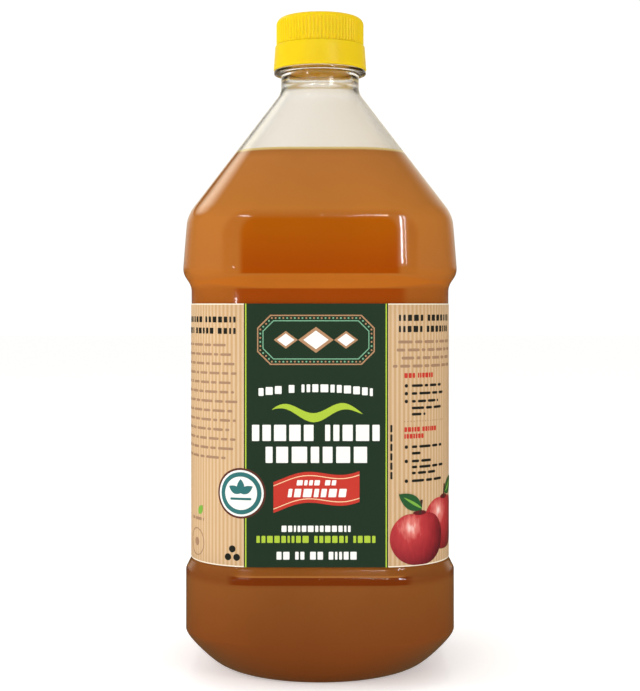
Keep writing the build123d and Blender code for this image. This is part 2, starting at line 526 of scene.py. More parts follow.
def vinegar_colour(tree):
    """Cloudy amber, browner low down, with painted light and shade: a deeper painted shade behind the flat faces
    of the upper band with a paler painted band round it, painted light on the step over the panel, painted shade
    in the recess under that step, painted light, shade and a highlight line on the lower step, and a painted
    highlight along the liquid's edge.
    """
    place = tree.nodes.new("ShaderNodeTexCoord")
    split = tree.nodes.new("ShaderNodeSeparateXYZ")
    link(tree, place.outputs["Object"], split.inputs[0])
    height = split.outputs["Z"]
    ramp = tree.nodes.new("ShaderNodeValToRGB")
    # The dip at 41.5 mm between paler stops is painted shade on the lower step, and the pale last stop is a
    # painted highlight along the liquid's edge.
    stops = (
        (0.0, (108, 54, 18)),
        (18.0, (124, 66, 27)),
        (39.0, (134, 78, 34)),
        (41.5, (124, 66, 26)),
        (46.0, (138, 80, 34)),
        (148.0, (156, 84, 28)),
        (153.6, (160, 88, 28)),
        (155.0, (170, 96, 36)),
        (160.0, (176, 104, 40)),
        (163.0, (176, 106, 46)),
        (184.0, (182, 112, 46)),
        (208.9, (176, 110, 52)),
        (209.3, (232, 206, 140)),
    )
    top = stops[-1][0]
    while len(ramp.color_ramp.elements) < len(stops):
        ramp.color_ramp.elements.new(0.5)
    for element, (level, colour) in zip(ramp.color_ramp.elements, stops):
        element.position = level / top
        element.color = tone(*colour)
    link(tree, math_node(tree, "DIVIDE", height, top * MM), ramp.inputs[0])
    across = math_node(tree, "ABSOLUTE", split.outputs["X"])
    along = math_node(tree, "ABSOLUTE", split.outputs["Y"])
    off_middle = math_node(tree, "MINIMUM", across, along)
    # Painted shade: a deeper colour behind the flat faces of the upper band.
    window_shade_mask = window_mask(tree, off_middle, height, 30.5, 159.4, 181.5, 7.0)
    window_shade_colour = mix_colour(tree, soft_step(tree, height, 0.160, 0.181), tone(158, 68, 0), tone(168, 84, 0))
    # Painted light: a paler band round that window, across the flanks of the upper band.
    painted_flank_light = window_mask(tree, off_middle, height, 37.5, 159.2, 183.5, 10.0)
    body = mix_colour(tree, painted_flank_light, ramp.outputs["Color"], tone(172, 100, 36))
    body = mix_colour(tree, window_shade_mask, body, window_shade_colour)
    # Painted light on the step over the panel.
    body = mix_colour(tree, lens_light_mask(tree, off_middle, height), body, tone(180, 100, 30))
    # Painted shade in the recess above the label, under that step.
    painted_recess_shade = strip_mask(tree, off_middle, height, 33.0, 146.0, 153.7)
    body = mix_colour(tree, painted_recess_shade, body, tone(150, 64, 4))
    # Painted light on the step above the lower band.
    painted_step_light = strip_mask(tree, off_middle, height, 34.0, 43.3, 48.0)
    body = mix_colour(tree, painted_step_light, body, tone(138, 78, 26))
    # Painted shade on the rounding below that step.
    painted_step_shade = strip_mask(tree, off_middle, height, 35.0, 40.2, 43.3)
    body = mix_colour(tree, painted_step_shade, body, tone(114, 46, 6))
    # A painted highlight line between the two.
    painted_step_highlight = strip_mask(tree, off_middle, height, 32.0, 43.1, 43.6)
    body = mix_colour(tree, painted_step_highlight, body, tone(176, 112, 52))
    cloud = tree.nodes.new("ShaderNodeTexNoise")
    cloud.inputs["Scale"].default_value = 14.0
    cloud.inputs["Detail"].default_value = 3.0
    cloud.inputs["Distortion"].default_value = 0.6
    link(tree, place.outputs["Object"], cloud.inputs["Vector"])
    gain = math_node(tree, "MULTIPLY_ADD", cloud.outputs["Fac"], 0.24, 0.88)
    toned = tree.nodes.new("ShaderNodeVectorMath")
    toned.operation = "SCALE"
    link(tree, body, toned.inputs[0])
    link(tree, gain, toned.inputs["Scale"])
    return toned.outputs["Vector"]


STRIPE_PITCH = 1.8
FLAT_SPAN = 200.0  # millimetres of label to one unit of the print's flat map


def label_field_colour(tree):
    """Kraft field with fine upright stripes and a cream line along each edge."""
    wrap = tree.nodes.new("ShaderNodeUVMap")
    wrap.uv_map = "wrap"
    split = tree.nodes.new("ShaderNodeSeparateXYZ")
    link(tree, wrap.outputs["UV"], split.inputs[0])
    stripes = round(label_perimeter / STRIPE_PITCH)
    swing = math_node(tree, "COSINE", math_node(tree, "MULTIPLY", split.outputs["X"], stripes * tau))
    shade = soft_step(tree, swing, -0.7, 0.7)
    field = mix_colour(tree, shade, tone(213, 181, 143), tone(198, 158, 110))
    edge = math_node(tree, "ABSOLUTE", math_node(tree, "SUBTRACT", split.outputs["Y"], 0.5))
    return mix_colour(tree, soft_step(tree, edge, 0.4945, 0.4965), field, tone(248, 236, 212))


label_corner = side_corner(label_half)
label_eighth = label_half - label_corner + label_corner * pi / 4
label_perimeter = 8 * label_eighth

clear_plastic = clear_plastic_material()
vinegar_fill = finish(
    "cloudy_vinegar", vinegar_colour, 0.5, variation=0.05, scale=60.0, spread=0.05, bump=0.0,
    Specular_IOR_Level=0.0,
)
label_film = finish("label_film", label_field_colour, 0.42, variation=0.05, scale=1500.0, bump=0.04)
yellow_plastic = finish(
    "yellow_plastic", tone(231, 192, 0), 0.38, variation=0.06, scale=2500.0, bump=0.12, depth=0.0001,
    Subsurface_Weight=0.7, Subsurface_Radius=(0.005, 0.0035, 0.0006), Subsurface_Scale=1.0,
    Specular_IOR_Level=0.3,
)

ink_colours = {
    "green": (26, 54, 34),
    "lime": (172, 200, 48),
    "dark": (28, 30, 24),
    "white": (244, 244, 238),
    "red": (200, 44, 26),
    "cream": (244, 206, 160),
    "copper": (178, 134, 96),
    "mint": (120, 176, 140),
    "teal": (38, 112, 112),
    "brown": (96, 44, 32),
    "grey_brown": (162, 126, 96),
    "leaf": (120, 176, 60),
    "apple_dark": (104, 14, 24),
    "leaf_dark": (34, 92, 44),
    "stem": (70, 44, 34),
}
inks = {
    name: finish("ink_" + name, tone(*colour), 0.38, variation=0.1, scale=1800.0, bump=0.05, depth=0.0001)
    for name, colour in ink_colours.items()
}

apple_front, apple_back = (39.2, 57.6), (54.0, 62.6)
front_size, back_size = 12.0, 12.4


def apple_colour(centre, size):
    """Printed fruit: a pale glint up and to the left, red, then a dark lower edge, with streaks."""

    def build(tree):
        flat = tree.nodes.new("ShaderNodeUVMap")
        flat.uv_map = "flat"
        away = tree.nodes.new("ShaderNodeVectorMath")
        away.operation = "DISTANCE"
        glint = (centre[0] - 0.36 * size, centre[1] + 0.36 * size)
        away.inputs[1].default_value = (glint[0] / FLAT_SPAN, glint[1] / FLAT_SPAN, 0.0)
        link(tree, flat.outputs["UV"], away.inputs[0])
        streak = tree.nodes.new("ShaderNodeTexNoise")
        streak.inputs["Scale"].default_value = 60.0
        streak.inputs["Detail"].default_value = 6.0
        stretch = tree.nodes.new("ShaderNodeMapping")
        stretch.inputs["Scale"].default_value = (2.4, 0.7, 1.0)
        link(tree, flat.outputs["UV"], stretch.inputs["Vector"])
        link(tree, stretch.outputs["Vector"], streak.inputs["Vector"])
        share = math_node(tree, "DIVIDE", away.outputs["Value"], size * 1.55 / FLAT_SPAN)
        swing = math_node(tree, "MULTIPLY_ADD", streak.outputs["Fac"], 0.36, -0.18)
        share = math_node(tree, "ADD", share, swing)
        ramp = tree.nodes.new("ShaderNodeValToRGB")
        shades = (
            (0.0, (246, 206, 196)),
            (0.12, (226, 120, 110)),
            (0.28, (190, 44, 48)),
            (0.6, (158, 22, 34)),
            (0.85, (112, 12, 26)),
            (1.0, (74, 8, 18)),
        )
        while len(ramp.color_ramp.elements) < len(shades):
            ramp.color_ramp.elements.new(0.5)
        for element, (position, colour) in zip(ramp.color_ramp.elements, shades):
            element.position = position
            element.color = tone(*colour)
        link(tree, share, ramp.inputs[0])
        return ramp.outputs["Color"]

    return build


for name, centre, size in (("apple_back", apple_back, back_size), ("apple_front", apple_front, front_size)):
    inks[name] = finish(
        "ink_" + name, apple_colour(centre, size), 0.38, variation=0.08, scale=1800.0, depth=0.0001
    )

# ---------------------------------------------------------------- bottle

bottle_rings = push_up_rings(push_up_radius, 0.0)
bottle_rings += body_rings(0.0)
neck_root = neck_root_profile((neck_foot_half, shoulder_top), (neck_radius, neck_bottom))
bottle_rings += lathe_rings(neck_root)
ring_edge = 0.45
neck_profile = [(neck_radius, ring_bottom - 0.6)]
neck_profile += [(neck_radius + 0.15, ring_bottom - 0.15), (neck_radius + 0.5, ring_bottom)]
neck_profile += arc_profile((ring_radius - ring_edge, ring_bottom + ring_edge), ring_edge, -90, 0, 4)
neck_profile += arc_profile((ring_radius - ring_edge, ring_top - ring_edge), ring_edge, 0, 90, 4)
neck_profile += [(finish_radius + 0.3, ring_top), (finish_radius, ring_top + 0.3)]
neck_profile += [(finish_radius, bead_bottom - 0.1), (finish_radius + 0.1, bead_bottom)]
neck_profile += [(bead_radius - 0.15, bead_bottom), (bead_radius, bead_bottom + 0.2)]
neck_profile += [(finish_radius, bead_top), (finish_radius, lip - 0.6)]
neck_profile += arc_profile((finish_radius - 0.5, lip - 0.5), 0.5, 0, 90, 4)
neck_profile += [(bore_radius + 0.3, lip), (bore_radius, lip - 0.3), (bore_radius, ring_top)]
neck_profile += [(neck_bore, ring_bottom - 1.0), (neck_bore, neck_bottom)]
bottle_rings += lathe_rings(neck_profile)
rise_rate = (shoulder_top - upper_band_top) / (upper_top_half - neck_foot_half)
slope_x = 1 / hypot(1, rise_rate)
slope_z = rise_rate * slope_x
inner_root = (neck_foot_half - wall * slope_z, shoulder_top - wall * slope_x)
bottle_rings += lathe_rings(neck_root_profile(inner_root, (neck_bore, neck_bottom))[-2::-1])
bottle_rings += body_rings(wall)[::-1]
bottle_rings += push_up_rings(push_up_radius + wall, wall)[::-1]
bottle_verts, bottle_faces = bridge_rings(bottle_rings)

thread_pitch = 4.0
thread_turns = 1.25
thread_root = 1.7
thread_crest = 0.8
thread_depth = 1.0
thread_start = lip - 2.2 - thread_pitch * thread_turns


def thread_ridge(root_radius, outward, start):
    """Rings of four points along a screw ridge that fades in and out at its ends."""
    steps = 90
    rings = []
    for step in range(steps + 1):
        share = step / steps
        angle = tau * thread_turns * share
        height = start + thread_pitch * thread_turns * share
        fade = min(1.0, share * 10, (1 - share) * 10)
        reach = outward * thread_depth * max(0.05, fade)
        section = (
            (-0.1 * outward, -thread_root / 2),
            (reach, -thread_crest / 2),
            (reach, thread_crest / 2),
            (-0.1 * outward, thread_root / 2),
        )
        rings.append(
            [
                ((root_radius + out) * cos(angle), (root_radius + out) * sin(angle), height + up)
                for out, up in section
            ]
        )
    return bridge_rings(rings)


def joined(parts):
    """Several lists of vertices and faces as one."""
    verts, faces = [], []
    for part_verts, part_faces in parts:
        start = len(verts)
        verts += part_verts
        faces += [tuple(i + start for i in face) for face in part_faces]
    return verts, faces


def face_outward(piece):
    """Turns every face of closed shapes outward."""
    shape = bmesh.new()
    shape.from_mesh(piece.data)
    bmesh.ops.recalc_face_normals(shape, faces=shape.faces)
    shape.to_mesh(piece.data)
    shape.free()


bottle = new_object(
    "clear_bottle",
    *joined([(bottle_verts, bottle_faces), thread_ridge(finish_radius, 1, thread_start)]),
    clear_plastic,
)
face_outward(bottle)
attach(bottle, "root")
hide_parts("bottle")

# ---------------------------------------------------------------- vinegar

wet_in = wall - 0.15  # the fill reaches just into the wall
fill_rings = push_up_rings(push_up_radius + wet_in, wet_in)
side_rings = body_rings(wet_in)
fill_rings += [ring for ring in side_rings if ring[0][2] < fill_level - 1.0]
edge_height = fill_level + 0.7
rate = (upper_top_half - neck_foot_half) / (shoulder_top - upper_band_top)


def level_half(height):
    """Half width of the inside of the shoulder at a height."""
    return upper_top_half - (height - upper_band_top) * rate - wet_in * hypot(1, rate)


def level_ring(half, height):
    full = level_half(fill_level)
    return square_ring(half, shoulder_corner(full) * half / full, height)


fill_rings.append(level_ring(level_half(edge_height), edge_height))
for reach, rise in ((0.25, 0.45), (0.6, 0.22), (1.1, 0.08), (1.8, 0.0)):
    fill_rings.append(level_ring(level_half(edge_height) - reach, fill_level + rise))
for share in (0.8, 0.55, 0.3, 0.1):
    fill_rings.append(level_ring(level_half(fill_level) * share, fill_level))
vinegar = new_object("vinegar_fill", *bridge_rings(fill_rings), vinegar_fill)
face_outward(vinegar)
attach(vinegar, "root")
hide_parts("vinegar")

# ---------------------------------------------------------------- label

film = 0.15
label_shares = even_shares(AROUND)
label_inner = label_half - film


def label_ring(half, height):
    return square_ring(half, label_corner + half - label_half, height, label_shares)


film_edge = 0.04
label_tall = label_top - label_bottom
label_rings = [label_ring(label_inner, label_top)]
label_rings.append(label_ring(label_inner, label_bottom))
label_rings.append(label_ring(label_half - film_edge, label_bottom))
label_rings.append(label_ring(label_half, label_bottom + film_edge))
label_rings += [label_ring(label_half, label_bottom + label_tall * i / 8) for i in range(1, 8)]
label_rings.append(label_ring(label_half, label_top - film_edge))
label_rings.append(label_ring(label_half - film_edge, label_top))
label_verts, label_faces = bridge_rings(label_rings, cap_ends=False)
final = len(label_rings) - 1
for i in range(AROUND):
    j = (i + 1) % AROUND
    label_faces.append((final * AROUND + i, final * AROUND + j, j, i))


def wrap_uv(piece, count):
    """UV round the label: across is the share of the way round, up is the share of its height."""
    layer = piece.data.uv_layers.new(name="wrap")
    for polygon in piece.data.polygons:
        columns = [piece.data.loops[i].vertex_index % count for i in polygon.loop_indices]
        crosses = max(columns) - min(columns) > count / 2
        for i, column in zip(polygon.loop_indices, columns):
            point = piece.data.vertices[piece.data.loops[i].vertex_index].co
            around = (column + count if crosses and column < count / 2 else column) / count
            up = (point.z / MM - label_bottom) / label_tall
            layer.data[i].uv = (around, up)


label = new_object("wrap_label", label_verts, label_faces, label_film)
wrap_uv(label, AROUND)
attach(label, "root")
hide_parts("label")


# ---------------------------------------------------------------- print on the label
# Shapes are drawn flat, with across in millimetres round from the middle of the front and up
# in millimetres from the foot, then cut into narrow strips and laid round the label.

ink_shapes = {name: [] for name in inks}
INK = 0.03  # thickness of one layer of ink
STRIP = 2.2


def lay_on_label(across, up, lift):
    share = across / label_perimeter
    half = label_half + lift
    x, y = square_point(half, label_corner + lift, share)
    return (x * MM, y * MM, up * MM)


def shape(ink, outline, layer=1):
    ink_shapes[ink].append((outline, layer))


def bar(ink, left, right, bottom, top, layer=2, corner=None, tilt=0.0):
    """A bar with rounded ends."""
    radius = min((top - bottom) / 2, (right - left) / 2) if corner is None else corner
    steps = 3 if radius < 0.8 else 6
    points = []
    for cx, cy, start in (
        (right - radius, bottom + radius, -90),
        (right - radius, top - radius, 0),
        (left + radius, top - radius, 90),
        (left + radius, bottom + radius, 180),
    ):
        for step in range(steps + 1):
            angle = radians(start + 90 * step / steps)
            px, py = cx + radius * cos(angle), cy + radius * sin(angle)
            points.append((px + (py - bottom) * tilt, py))
    shape(ink, points, layer)


def word_lengths(total, mean, seed):
    """Lengths of words that fill a line, in a fixed uneven order."""
    pattern = (1.0, 0.55, 1.3, 0.75, 1.15, 0.4, 0.9)
    lengths = []
    used = 0.0
    while used < total:
        length = mean * pattern[(seed + len(lengths)) % len(pattern)]
        lengths.append(min(length, total - used))
        used += length + mean * 0.22
    return [length for length in lengths if length > mean * 0.15]


def word_line(ink, left, right, bottom, top, mean=6.0, seed=0, layer=2, corner=None):
    """A line of plain word-length bars."""
    at = left
    for length in word_lengths(right - left, mean, seed):
        bar(ink, at, at + length, bottom, top, layer, corner)
        at += length + mean * 0.22


BLOCK_WIDTHS = (1.0, 0.6, 0.85, 0.42, 0.95, 0.7, 1.1, 0.5, 0.8)


def block_line(ink, left, right, bottom, top, count, gap=0.3, gaps=(), layer=2, tilt=0.0, arch=0.0):
    """A heading of plain upright blocks of uneven width, with spaces after those numbered in gaps."""
    widths = [BLOCK_WIDTHS[(i * 4 + count) % len(BLOCK_WIDTHS)] for i in range(count)]
    unit = (right - left) / (sum(widths) + gap * (count - 1) + 0.7 * len(gaps))
    at = left
    for i, width in enumerate(widths):
        middle = (at + width * unit / 2 - (left + right) / 2) / ((right - left) / 2)
        rise = arch * (1 - middle**2)
        round_end = min(0.25, width * unit / 4)
        bar(ink, at, at + width * unit, bottom + rise, top + rise, layer, round_end, tilt)
        at += (width + gap + (0.7 if i in gaps else 0.0)) * unit


def disc(ink, across, up, radius, layer=2, squash=1.0, steps=40):
    shape(
        ink,
        [
            (across + radius * cos(tau * i / steps), up + radius * squash * sin(tau * i / steps))
            for i in range(steps)
        ],
        layer,
    )


def hoop(ink, across, up, radius, width, layer=2, squash=1.0, steps=48):
    """A ring, as two halves so that each outline is simple."""
    for turn in (0, 1):
        outline = []
        for reach, order in ((radius, range(steps + 1)), (radius - width, range(steps, -1, -1))):
            for i in order:
                angle = pi * (i / steps + turn)
                outline.append((across + reach * cos(angle), up + reach * squash * sin(angle)))
        shape(ink, outline, layer)


def leaf(ink, across, up, length, width, angle, layer=3):
    """A pointed leaf from its stalk end."""
    points = []
    for side, order in ((1, range(0, 13)), (-1, range(11, 0, -1))):
        for i in order:
            t = i / 12
            points.append((t * length, side * width / 2 * sin(pi * t) ** 0.8 * (1.15 - 0.3 * t)))
    c, s = cos(radians(angle)), sin(radians(angle))
    shape(ink, [(across + x * c - y * s, up + x * s + y * c) for x, y in points], layer)


panel_left, panel_right = -28.2, 25.1
panel_middle = (panel_left + panel_right) / 2


def full_height(ink, left, right, layer=1):
    """A block of one ink from the foot of the label to its top."""
    shape(ink, [(left, label_bottom), (right, label_bottom), (right, label_top), (left, label_top)], layer)


full_height("green", panel_left, panel_right)
for side, edge in ((-1, panel_left), (1, panel_right)):
    for ink, start, width in (("lime", 0.0, 0.5), ("dark", 0.5, 0.45)):
        full_height(ink, *sorted((edge + side * start, edge + side * (start + width))))

# Plaque with stepped corners and three plain lozenges.
plaque_middle, plaque_up = panel_middle, 134.0


def stepped(half_width, half_height, cut):
    """Outline of a rectangle with its corners cut across."""
    corners = []
    for sx, sy in ((1, -1), (1, 1), (-1, 1), (-1, -1)):
        a = (plaque_middle + sx * half_width, plaque_up + sy * (half_height - cut))
        b = (plaque_middle + sx * (half_width - cut), plaque_up + sy * half_height)
        corners += [a, b] if sx * sy > 0 else [b, a]
    return corners


shape("copper", stepped(22.5, 9.6, 5.0), 2)
shape("green", stepped(22.0, 9.1, 4.8), 3)
shape("mint", stepped(20.4, 7.5, 4.1), 4)
shape("green", stepped(20.0, 7.1, 3.9), 5)
edge = stepped(21.25, 8.35, 4.4)
bead_step = 1.45
for start, end in zip(edge, edge[1:] + edge[:1]):
    run = hypot(end[0] - start[0], end[1] - start[1])
    beads = round(run / bead_step)
    for i in range(beads):
        t = i / beads
        centre = [start[k] + (end[k] - start[k]) * t for k in range(2)]
        disc(("copper", "mint")[i % 2], *centre, 0.36, 4, steps=10)
for shift, size in ((-11.5, 3.4), (0.0, 5.0), (11.5, 3.4)):
    for ink, scale, layer in (("copper", 1.0, 6), ("white", 0.72, 7)):
        reach = size * scale
        shape(
            ink,
            [
                (plaque_middle + shift + reach * 1.35, plaque_up),
                (plaque_middle + shift, plaque_up + reach),
                (plaque_middle + shift - reach * 1.35, plaque_up),
                (plaque_middle + shift, plaque_up - reach),
            ],
            layer,
        )

block_line("white", -23.5, 20.2, 112.4, 115.4, 14, gaps=(2, 3), arch=1.6)
# A brushed stroke under the first heading.
stroke = []
for side, order in ((1, range(0, 25)), (-1, range(24, -1, -1))):
    for i in order:
        t = i / 24
        width = 1.75 * sin(pi * t) ** 0.75
        stroke.append((-18.5 + 35 * t, 106.4 + 2.2 * sin(tau * t * 1.5 + 0.4) + side * width))
shape("lime", stroke, 2)
block_line("white", -26.0, 22.8, 95.3, 101.5, 10, gap=0.26, gaps=(4,))
block_line("white", -20.8, 18.0, 86.9, 93.1, 7, gap=0.26)

# Ribbon with cream edges.
ribbon_left, ribbon_right = -17.8, 15.1


def ribbon_line(base, steps=20):
    return [
        (
            ribbon_left + (ribbon_right - ribbon_left) * i / steps,
            base + 4.2 * i / steps + 1.5 * sin(tau * i / steps - 0.6),
        )
        for i in range(steps + 1)
    ]


shape("red", ribbon_line(68.6) + ribbon_line(80.4)[::-1], 2)
for base in (69.9, 78.8):
    shape("cream", ribbon_line(base) + ribbon_line(base + 0.35)[::-1], 3)
block_line("white", -9.0, 6.0, 78.3, 80.3, 6, layer=3, gaps=(3,), tilt=0.15)
block_line("white", -12.4, 9.8, 73.8, 77.0, 7, layer=3, tilt=0.15)
block_line("white", -14.7, 11.7, 60.5, 62.9, 13)
block_line("lime", -24.3, 21.2, 56.3, 59.0, 19, gaps=(8, 14))
block_line("white", -16.6, 14.0, 49.9, 52.9, 11, gaps=(1, 3, 5))

# Round badge.
badge = (-30.4, 75.2)
disc("brown", *badge, 9.7, 2)
disc("white", *badge, 8.9, 3)
disc("teal", *badge, 8.1, 4)
disc("white", *badge, 6.4, 5)
for angle in (30, 90, 150):
    leaf("teal", *badge, 5.4, 2.9, angle, 6)
bar("teal", badge[0] - 4.2, badge[0] + 4.2, badge[1] - 2.6, badge[1] - 1.7, 6)

# Left text column, a leaf, a hoop and a plain patch.
for up, left, seed in ((140.6, -62.5, 0), (136.2, -64.5, 3)):
    block_line("dark", left, -32.5, up, up + 2.3, 13, gap=0.5, gaps=(3, 8) if seed else (5,))
line_ends = (-36.5, -34.0, -33.0, -32.2, -34.6, -33.2, -31.8, -33.6, -32.4, -35.2, -32.6, -33.0, -36.8)
for row, right in enumerate(line_ends):
    up = 131.4 - row * 3.62
    word_line("grey_brown", -66.0 - 0.4 * (row % 3), right, up, up + 0.95, 5.2, row)
leaf("leaf", -52.0, 65.6, 4.6, 3.0, 50, 2)
word_line("grey_brown", -58.0, -48.2, 63.2, 64.3, 4.0, 1)
hoop("grey_brown", -53.4, 54.6, 5.4, 0.35, 2)
disc("grey_brown", -53.4, 54.6, 1.6, 2)
for turn in (90, 210, 330):
    disc("dark", -33.9 + 2.1 * cos(radians(turn)), 51.6 + 2.1 * sin(radians(turn)), 1.35, 2, steps=20)

# Right text column.
for up, left, right in ((141.2, 30.3, 59.0), (136.9, 30.3, 58.0)):
    block_line("dark", left, right, up, up + 2.4, 12, gap=0.5, gaps=(4,))
for row, (left, right) in enumerate(((30.0, 60.0), (29.4, 61.0), (31.4, 59.5), (27.9, 60.5))):
    up = 132.6 - row * 3.1
    word_line("grey_brown", left, right, up, up + 1.1, 4.6, row + 2)
block_line("red", 32.5, 46.0, 119.3, 121.2, 9, gaps=(2,))
check_rows = (
    (116.3, 51.5, True), (113.3, 53.0, True), (110.3, 49.5, True),
    (107.7, 51.5, False), (105.3, 42.0, False),
)
lower_rows = (
    (92.8, 52.0, True), (90.3, 41.0, False), (87.3, 46.0, True), (85.0, 53.0, False),
    (82.7, 47.5, False), (79.7, 52.5, True),
)
for up, right, checked in check_rows + lower_rows:
    word_line("dark", 35.6, right, up - 0.5, up + 0.5, 4.4, int(up))
    if checked:
        disc("dark", 33.3, up, 0.7, 2, steps=12)
for i in range(16):
    disc("grey_brown", 32.6 + i * 1.35, 102.6, 0.22, 2, steps=8)
block_line("red", 32.5, 48.0, 98.6, 100.4, 11, gaps=(4,))
block_line("red", 32.5, 41.0, 96.0, 97.8, 7)
for i in range(6):
    bar("dark", 26.9, 27.7, 80.6 + i * 3.6, 83.4 + i * 3.6, 2, 0.3)


# Two plain apples side by side, each a round shape with a dip at its top.
def apple(ink, across, up, size, layer):
    points = []
    for i in range(72):
        angle = tau * i / 72
        dip = 0.17 * max(0.0, sin(angle)) ** 9 + 0.04 * max(0.0, -sin(angle)) ** 7
        radius = size * (1 + 0.04 * cos(2 * angle) - dip)
        y = up + radius * 0.95 * sin(angle)
        points.append((across + radius * cos(angle), max(y, label_bottom + 0.4)))
    shape(ink, points, layer)


apple("apple_back", *apple_back, back_size, 2)
apple("apple_front", *apple_front, front_size, 6)
for (across, up), layer in ((apple_back, 4), (apple_front, 8)):
    disc("apple_dark", across, up + 9.7, 3.0, layer - 1, squash=0.3, steps=20)
    bar("stem", across - 0.5, across + 0.5, up + 8.9, up + 14.6, layer, 0.45, tilt=0.14)
for (across, up), turn, layer in ((apple_back, 28, 4), (apple_front, 148, 8)):
    leaf("leaf_dark", across + 0.8, up + 11.0, 11.5, 5.8, turn, layer + 1)
    leaf("leaf", across + 1.0, up + 11.2, 9.4, 1.1, turn + 2, layer + 2)

# The far sides: a plain ruled table on the right, a column of text on the left.
table_left, table_right = 78.0, 106.0
bar("dark", table_left, table_right, 62.0, 134.0, 1, 0.8)
bar("cream", table_left + 0.5, table_right - 0.5, 62.5, 133.5, 2, 0.5)
block_line("dark", table_left + 2, table_right - 2, 128.0, 131.6, 9, layer=3, gaps=(4,))
for row in range(15):
    up = 123.6 - row * 4.1
    bar("dark", table_left + 2, table_right - 2, up - 1.3, up - (0.7 if row % 5 == 0 else 1.1), 3, 0.05)
    word_line("dark", table_left + 2, table_left + 10 + (row * 5) % 9, up, up + 1.3, 5.0, row, 3)
    word_line("dark", table_right - 5.5, table_right - 2, up, up + 1.3, 6.0, 0, 3)
for row in range(20):
    up = 134.0 - row * 3.9
    word_line("grey_brown", -112.0, -80.0 - (row * 7) % 8, up, up + 1.4, 6.5, row)
block_line("dark", -112.0, -82.0, 139.5, 142.4, 12, gaps=(5,))
disc("brown", 131.0, 96.0, 9.4, 2)
disc("cream", 131.0, 96.0, 8.6, 3)
leaf("leaf_dark", 127.4, 91.5, 12.0, 5.6, 52, 4)
for row in range(7):
    word_line("grey_brown", 118.0, 146.0, 80.0 - row * 3.7, 81.4 - row * 3.7, 6.0, row + 1)
half_way = label_perimeter / 2
back_panel = 53.7
full_height("green", -half_way + 0.4, -half_way + back_panel)
for edge in (-half_way, -half_way + back_panel):
    full_height("lime", edge, edge + 0.5, 2)
back_middle = -half_way + 27.0
for row, (half_length, tall, ink, count) in enumerate(
    ((21.0, 4.6, "white", 12), (15.0, 4.6, "white", 9), (19.0, 2.6, "lime", 16), (13.0, 2.4, "white", 12))
):
    up = 122.0 - row * 11.0
    block_line(ink, back_middle - half_length, back_middle + half_length, up, up + tall, count, gap=0.28)
disc("copper", back_middle, 64.0, 9.0, 2)
disc("green", back_middle, 64.0, 8.2, 3)
leaf("lime", back_middle - 4.2, 59.6, 12.4, 5.6, 48, 4)


def print_piece(name, shapes):
    """All the shapes of one ink, as thin closed layers that reach just into the label."""
    flat = bmesh.new()
    for outline, layer in shapes:
        over = [flat.verts.new((x, y, layer)) for x, y in outline]
        under = [flat.verts.new((x, y, -1.0)) for x, y in outline]
        for a, b, c in tessellate_polygon([[Vector((x, y, 0)) for x, y in outline]]):
            flat.faces.new((over[a], over[b], over[c]))
            flat.faces.new((under[c], under[b], under[a]))
        for i in range(len(outline)):
            j = (i + 1) % len(outline)
            flat.faces.new((over[i], over[j], under[j], under[i]))
    lows = [v.co.x for v in flat.verts]
    first = int(min(lows) // STRIP)
    for i in range(first, int(max(lows) // STRIP) + 1):
        bmesh.ops.bisect_plane(
            flat,
            geom=flat.verts[:] + flat.edges[:] + flat.faces[:],
            plane_co=(i * STRIP, 0, 0),
            plane_no=(1, 0, 0),
            dist=1e-5,
        )
    bmesh.ops.recalc_face_normals(flat, faces=flat.faces)
    for side in flat.edges:
        side.smooth = side.calc_face_angle(0.0) < radians(30)
    flat_map = flat.loops.layers.uv.new("flat")
    for face in flat.faces:
        for loop in face.loops:
            loop[flat_map].uv = (loop.vert.co.x / FLAT_SPAN, loop.vert.co.y / FLAT_SPAN)
    for vert in flat.verts:
        vert.co = lay_on_label(vert.co.x, vert.co.y, vert.co.z * INK)
    mesh = bpy.data.meshes.new(name)
    flat.to_mesh(mesh)
    flat.free()
    mesh.materials.append(inks[name])
    piece = bpy.data.objects.new("print_" + name, mesh)
    bpy.context.scene.collection.objects.link(piece)
    for polygon in mesh.polygons:
        polygon.use_smooth = True
    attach(piece, "root")


for ink_name, ink_list in ink_shapes.items():
    print_piece(ink_name, ink_list)

# ---------------------------------------------------------------- cap

cap_radius = 18.3
cap_edge = 3.0
rib_depth = 0.35
rib_count = 74
cap_bore = 16.6
cap_shares = even_shares(rib_count * 8)
rib_root = cap_radius - rib_depth


def rib_height(share):
    """Height of the ribs over their root, 0 to 1, at a share of the way round."""
    swing = 0.5 + 0.5 * cos(tau * rib_count * share)
    return swing**0.8


def ribbed_ring(blank_radius, height, fade):
    points = []
    for share in cap_shares:
        ridge = rib_height(share)
        radius = min(blank_radius, rib_root + rib_depth * ridge * min(1.0, fade * (0.6 + 0.8 * ridge)))
        points.append((radius * sin(tau * share), -radius * cos(tau * share), height))
    return points


